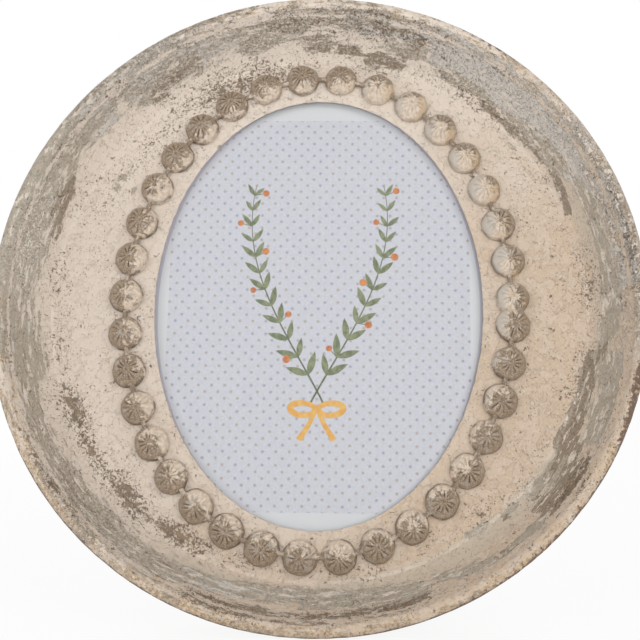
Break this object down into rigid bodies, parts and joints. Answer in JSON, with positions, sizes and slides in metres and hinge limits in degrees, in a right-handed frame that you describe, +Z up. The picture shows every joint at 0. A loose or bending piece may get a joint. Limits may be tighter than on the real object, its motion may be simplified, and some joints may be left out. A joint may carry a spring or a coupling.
{
  "type": "photo frame",
  "caption": "Round metal photo frame with an oval window, a rosette strip, a folding easel strut, turn buttons and a hanging ring.",
  "frame": {"origin": "centre of the bounding box's floor face: the bottom of the rim and the strut's foot stand at z = 0", "axes": "+Z up, +X to the right of someone who looks at the picture, -Y towards that person"},
  "size_m": [0.242, 0.0972, 0.2354],
  "materials": {
    "worn_paint": "worn cream and grey paint with a brown patina",
    "worn_metal": "cast metal with rubbed cream paint and a grey-brown patina",
    "bare_steel": "dull rolled sheet",
    "plated_steel": "satin plating",
    "clear_glass": "clear float glass",
    "printed_paper": "matt printed card",
    "grey_card": "raw grey card",
    "black_board": "black paper-faced fibreboard"
  },
  "bodies": {
    "frame": {"front_shell": "worn_paint", "rosette_strip": "worn_metal", "back_plate": "bare_steel", "rebate_ring": "bare_steel", "glass_pane": "clear_glass", "photo_print": "printed_paper", "filler_card": "grey_card", "back_board": "black_board", "hinge_board_leaf": "plated_steel", "hinge_pin": "plated_steel", "board_rivet_1": "plated_steel", "board_rivet_2": "plated_steel", "button_stud_1": "plated_steel", "button_stud_2": "plated_steel", "button_stud_3": "plated_steel", "button_stud_4": "plated_steel", "hanger_strap": "plated_steel", "hanger_rivet": "plated_steel"},
    "strut": {"easel_strut": "black_board", "hinge_strut_leaf": "plated_steel", "strut_rivet_1": "plated_steel", "strut_rivet_2": "plated_steel"},
    "ring": {"hanger_ring": "plated_steel"},
    "button_1": {"turn_button_1": "plated_steel"},
    "button_2": {"turn_button_2": "plated_steel"},
    "button_3": {"turn_button_3": "plated_steel"},
    "button_4": {"turn_button_4": "plated_steel"}
  },
  "joints": [
    {"name": "strut_fold", "type": "hinge", "parent": "frame", "child": "strut", "pos_m": [0, 0.01585, 0.14859], "axis": [1, 0, 0], "range_deg": [-25.5, 0]},
    {"name": "ring_swing", "type": "hinge", "parent": "frame", "child": "ring", "pos_m": [0, 0.02369, 0.18167], "axis": [1, 0, 0], "range_deg": [-17, 165]},
    {"name": "button_1_turn", "type": "hinge", "parent": "frame", "child": "button_1", "pos_m": [0.05176, 0.02096, 0.17715], "axis": [0, 0.9724, -0.2334], "continuous": true},
    {"name": "button_2_turn", "type": "hinge", "parent": "frame", "child": "button_2", "pos_m": [0.05176, -0.01031, 0.04692], "axis": [0, 0.9724, -0.2334], "continuous": true},
    {"name": "button_3_turn", "type": "hinge", "parent": "frame", "child": "button_3", "pos_m": [-0.05176, -0.01031, 0.04692], "axis": [0, 0.9724, -0.2334], "continuous": true},
    {"name": "button_4_turn", "type": "hinge", "parent": "frame", "child": "button_4", "pos_m": [-0.05176, 0.02096, 0.17715], "axis": [0, 0.9724, -0.2334], "continuous": true}
  ]
}
